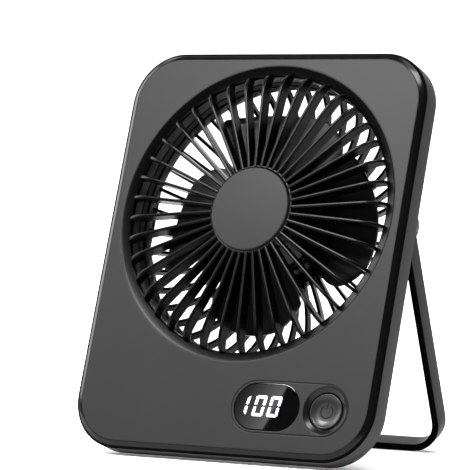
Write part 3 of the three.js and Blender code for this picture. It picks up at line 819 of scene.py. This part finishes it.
# ---------------------------------------------------------------- finishes of the pieces inside
INSIDE = {
    "tact_switch": STEEL, "usb_socket": STEEL, "main_board": BOARD, "battery_pack": FOIL,
    "motor_base": DUCT, "motor_board": BOARD, "stator_core": STEEL, "front_bearing": STEEL,
    "rear_bearing": STEEL, "rotor_bell": STEEL, "magnet_ring": MAGNET, "motor_shaft": STEEL,
    "shaft_clip": STEEL, "friction_washer_left": RUBBER, "friction_washer_right": RUBBER,
    "board_screw_1": STEEL, "board_screw_2": STEEL, "motor_screw_1": STEEL, "motor_screw_2": STEEL,
    "motor_screw_3": STEEL,
}
INSIDE.update({f"stator_coil_{k}": COPPER for k in range(1, 7)})
for node, finish in INSIDE.items():
    data = frame["nodes"][node].data
    data.materials.clear()
    data.materials.append(finish)

# ---------------------------------------------------------------- camera, stage and lights
# The camera stands this far from the point where the fan's axis crosses the face, turned about the
# vertical and tipped down by these degrees. The sensor's width and the lens are in millimetres.
CAMERA_FROM_AXIS = Vector((0.6652, -1.1614, 0.0595))
CAMERA_TURN = 30.18
CAMERA_DIP = 2.99
SENSOR = 36
LENS = 229.787234
camera = bpy.data.objects.new("camera", bpy.data.cameras.new("camera"))
camera.location = ORIGIN + CAMERA_FROM_AXIS
camera.rotation_euler = (math.radians(90 - CAMERA_DIP), 0, math.radians(CAMERA_TURN))
camera.data.sensor_width = SENSOR
camera.data.lens = LENS
bpy.context.scene.collection.objects.link(camera)
bpy.context.scene.camera = camera


def stage():
    """A pale table top that curves up into a backdrop behind the fan."""
    half, front, back, radius, top = 6.0, -6.0, 1.6, 1.2, 5.0
    steps, glow = 16, 0.15
    profile = [(front, 0), (back, 0)]
    for k in range(1, steps + 1):
        a = math.radians(90 * k / steps)
        profile.append((back + radius * math.sin(a), radius - radius * math.cos(a)))
    profile.append((back + radius, top))
    turn = Matrix.Rotation(math.radians(CAMERA_TURN), 4, "Z")
    shape = Shape()
    shape.grid([[tuple(turn @ Vector((x, y, z))) for y, z in profile] for x in (-half, half)], tube=False)
    data = bpy.data.meshes.new("table_top")
    data.from_pydata(shape.points, [], shape.faces)
    data.shade_smooth()
    white = surface("table_white", (0.86, 0.86, 0.86), (0.90, 0.90, 0.90), 0.7, grain=60, bump=0.05)
    shader = white.node_tree.nodes["Principled BSDF"]
    shader.inputs["Emission Color"].default_value = (1, 1, 1, 1)
    shader.inputs["Emission Strength"].default_value = glow
    data.materials.append(white)
    obj = bpy.data.objects.new("table_top", data)
    bpy.context.scene.collection.objects.link(obj)


def lamp(name, place, target, size, power):
    """A soft rectangular light at place, aimed at target, with its size in metres and its power in watts."""
    light = bpy.data.lights.new(name, "AREA")
    light.shape = "RECTANGLE"
    light.size, light.size_y = size
    light.energy = power
    obj = bpy.data.objects.new(name, light)
    obj.location = place
    obj.rotation_euler = (Vector(target) - Vector(place)).to_track_quat("-Z", "Y").to_euler()
    obj.visible_camera = False
    bpy.context.scene.collection.objects.link(obj)
    return obj


def mirrored(x, u, away):
    """The place this many metres out along the camera's line of sight, mirrored in the window's plane.

    (x, u) is where the mirroring happens. That spot, and the distance as a share of the camera's own
    distance from it, come back too.
    """
    normal = -(BODY.to_3x3().normalized() @ Vector((0, 1, 0)))
    spot = BODY @ Vector((x, GLASS_FRONT, u))
    eye = Vector(camera.location)
    image = eye - 2 * (eye - spot).dot(normal) * normal
    return spot + (spot - image).normalized() * away, spot, away / (spot - image).length


def glint(name, edge, reach, away, peak):
    """A graded strip light whose image in the window ends along an edge and reaches some millimetres from it.

    The edge is a pair of (x, u) points. The light is brightest there, at peak.
    """
    falloff = 2.0
    (low, spot, ratio), (high, _, _) = [mirrored(x, u, away) for x, u in edge]
    side = (low - spot).normalized().cross(high - low).normalized()
    if side.x > 0:
        side = -side
    width = reach * (1 + ratio) / 1000
    length = 1.8 * (high - low).length
    light = lamp(name, (low + high) / 2 + side * width / 2, spot, (width, length), 0)
    z_axis = (light.location - spot).normalized()
    y_axis = z_axis.cross(side).normalized()
    turn = Matrix((y_axis.cross(z_axis), y_axis, z_axis)).transposed()
    light.rotation_euler = turn.to_euler()
    light.data.energy = peak * math.pi * light.data.size * light.data.size_y
    light.data.use_nodes = True
    nodes, links = light.data.node_tree.nodes, light.data.node_tree.links
    place = nodes.new("ShaderNodeNewGeometry")
    split = nodes.new("ShaderNodeSeparateXYZ")
    ramp = nodes.new("ShaderNodeMapRange")
    ramp.inputs["To Min"].default_value = 1.0
    ramp.inputs["To Max"].default_value = 0.0
    links.new(place.outputs["Parametric"], split.inputs["Vector"])
    links.new(split.outputs["X"], ramp.inputs["Value"])
    curve = nodes.new("ShaderNodeMath")
    curve.operation = "POWER"
    curve.inputs[1].default_value = falloff
    links.new(ramp.outputs["Result"], curve.inputs[0])
    links.new(curve.outputs["Value"], nodes["Emission"].inputs["Strength"])


stage()
CENTRE = (0, 0, 0.09)
lamp("left_softbox", (-1.74, -0.05, 0.80), CENTRE, (1.1, 1.1), 25)
lamp("key_softbox", mirrored(70, 90, 0.7)[0], CENTRE, (0.2, 0.2), 11)
lamp("side_softbox", (-0.77, -0.27, 0.60), CENTRE, (0.4, 0.4), 4)
lamp("overhead_softbox", (0.23, -0.41, 1.2), CENTRE, (0.35, 0.35), 16)
lamp("top_softbox", (0.5, 0.3, 2.3), (0.2, 0.2, 0), (1.8, 1.8), 58)
lamp("backdrop_wash", (-1.0, 1.2, 2.4), (-1.4, 2.6, 0.6), (3.0, 1.0), 90)
glint("window_glint", [(22.8, -99.2), (31.8, -78.5)], 23, 0.6, 3.0)

WORLD_LIGHT = 0.04
world = bpy.data.worlds.new("studio")
bpy.context.scene.world = world
world.use_nodes = True
world.node_tree.nodes["Background"].inputs["Color"].default_value = (1, 1, 1, 1)
world.node_tree.nodes["Background"].inputs["Strength"].default_value = WORLD_LIGHT
bpy.context.scene.view_settings.view_transform = "Standard"
